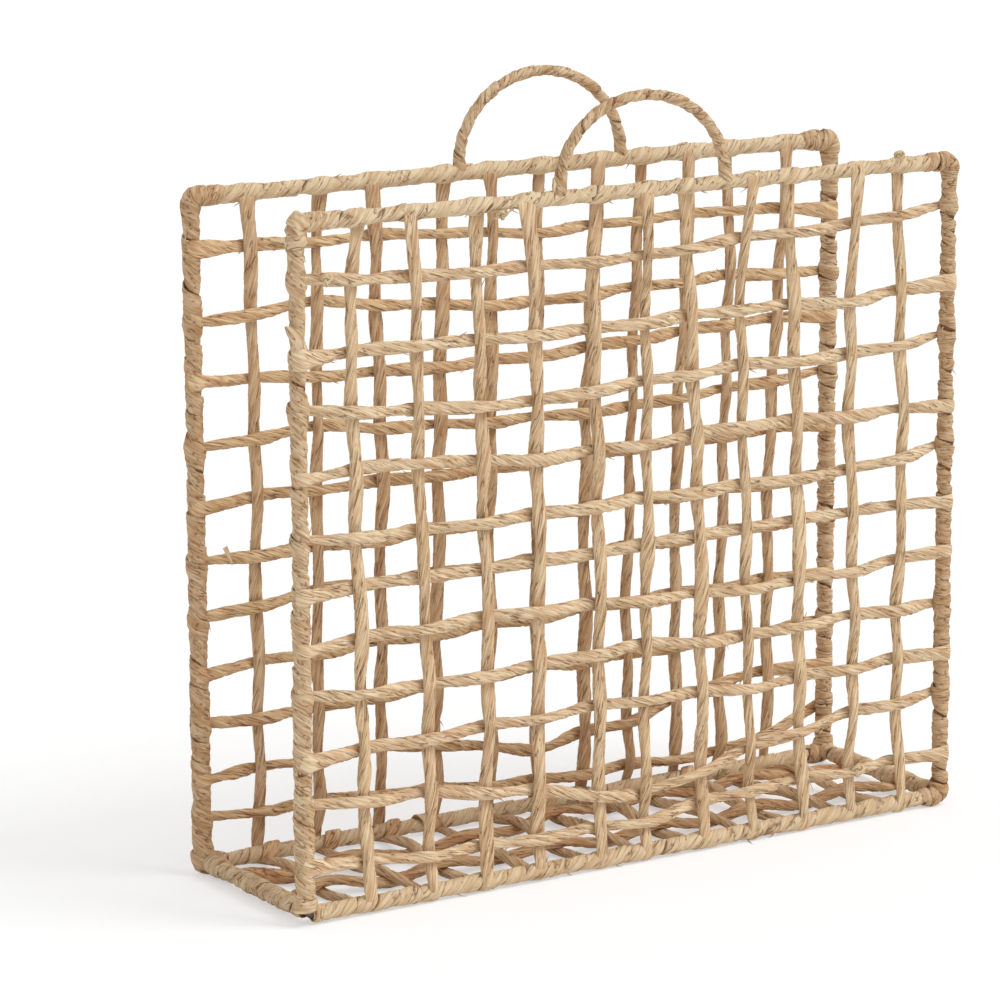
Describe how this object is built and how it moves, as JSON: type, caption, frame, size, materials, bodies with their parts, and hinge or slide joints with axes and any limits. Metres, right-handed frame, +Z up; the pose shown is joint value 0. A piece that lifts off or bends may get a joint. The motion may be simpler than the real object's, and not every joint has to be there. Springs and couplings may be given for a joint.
{
  "type": "magazine basket",
  "caption": "Open magazine basket: two woven raffia panels and a woven base on a wire frame wound with raffia strip, with a wound arch handle on each panel.",
  "frame": {"origin": "centre of the bounding box on the floor, the plane under the laps of the warps round the bottom rails", "axes": "+X to the right along the width as seen from the front, +Y from the front panel to the back panel, +Z up"},
  "size_m": [0.4078, 0.1174, 0.4075],
  "materials": {
    "frame_wire": "dark bare steel wire, seen only where the strip leaves a corner open",
    "wound_strip": "flat straw-coloured raffia strip wound in tight turns, dull",
    "woven_cord": "twisted raffia cord with fibres along it, dull",
    "shaded_cord": "the same twisted raffia cord, browner on the back panel and the base"
  },
  "bodies": {
    "root": {"front_frame_wire": "frame_wire", "back_frame_wire": "frame_wire", "front_handle_wire": "frame_wire", "back_handle_wire": "frame_wire", "left_base_wire": "frame_wire", "right_base_wire": "frame_wire", "front_left_post_wrap": "wound_strip", "front_right_post_wrap": "wound_strip", "front_top_rail_wrap": "wound_strip", "front_bottom_rail_wrap": "wound_strip", "front_handle_wrap": "wound_strip", "back_left_post_wrap": "wound_strip", "back_right_post_wrap": "wound_strip", "back_top_rail_wrap": "wound_strip", "back_bottom_rail_wrap": "wound_strip", "back_handle_wrap": "wound_strip", "left_base_wrap": "wound_strip", "right_base_wrap": "wound_strip", "warp_01": "woven_cord", "warp_02": "woven_cord", "warp_03": "woven_cord", "warp_04": "woven_cord", "warp_05": "woven_cord", "warp_06": "woven_cord", "warp_07": "woven_cord", "warp_08": "woven_cord", "warp_09": "woven_cord", "warp_10": "woven_cord", "warp_11": "woven_cord", "front_weft_01": "woven_cord", "front_weft_02": "woven_cord", "front_weft_03": "woven_cord", "front_weft_04": "woven_cord", "front_weft_05": "woven_cord", "front_weft_06": "woven_cord", "front_weft_07": "woven_cord", "front_weft_08": "woven_cord", "front_weft_09": "woven_cord", "front_weft_10": "woven_cord", "front_weft_11": "woven_cord", "back_weft_01": "shaded_cord", "back_weft_02": "shaded_cord", "back_weft_03": "shaded_cord", "back_weft_04": "shaded_cord", "back_weft_05": "shaded_cord", "back_weft_06": "shaded_cord", "back_weft_07": "shaded_cord", "back_weft_08": "shaded_cord", "back_weft_09": "shaded_cord", "back_weft_10": "shaded_cord", "back_weft_11": "shaded_cord", "front_base_cord": "shaded_cord", "back_base_cord": "shaded_cord"}
  },
  "joints": []
}
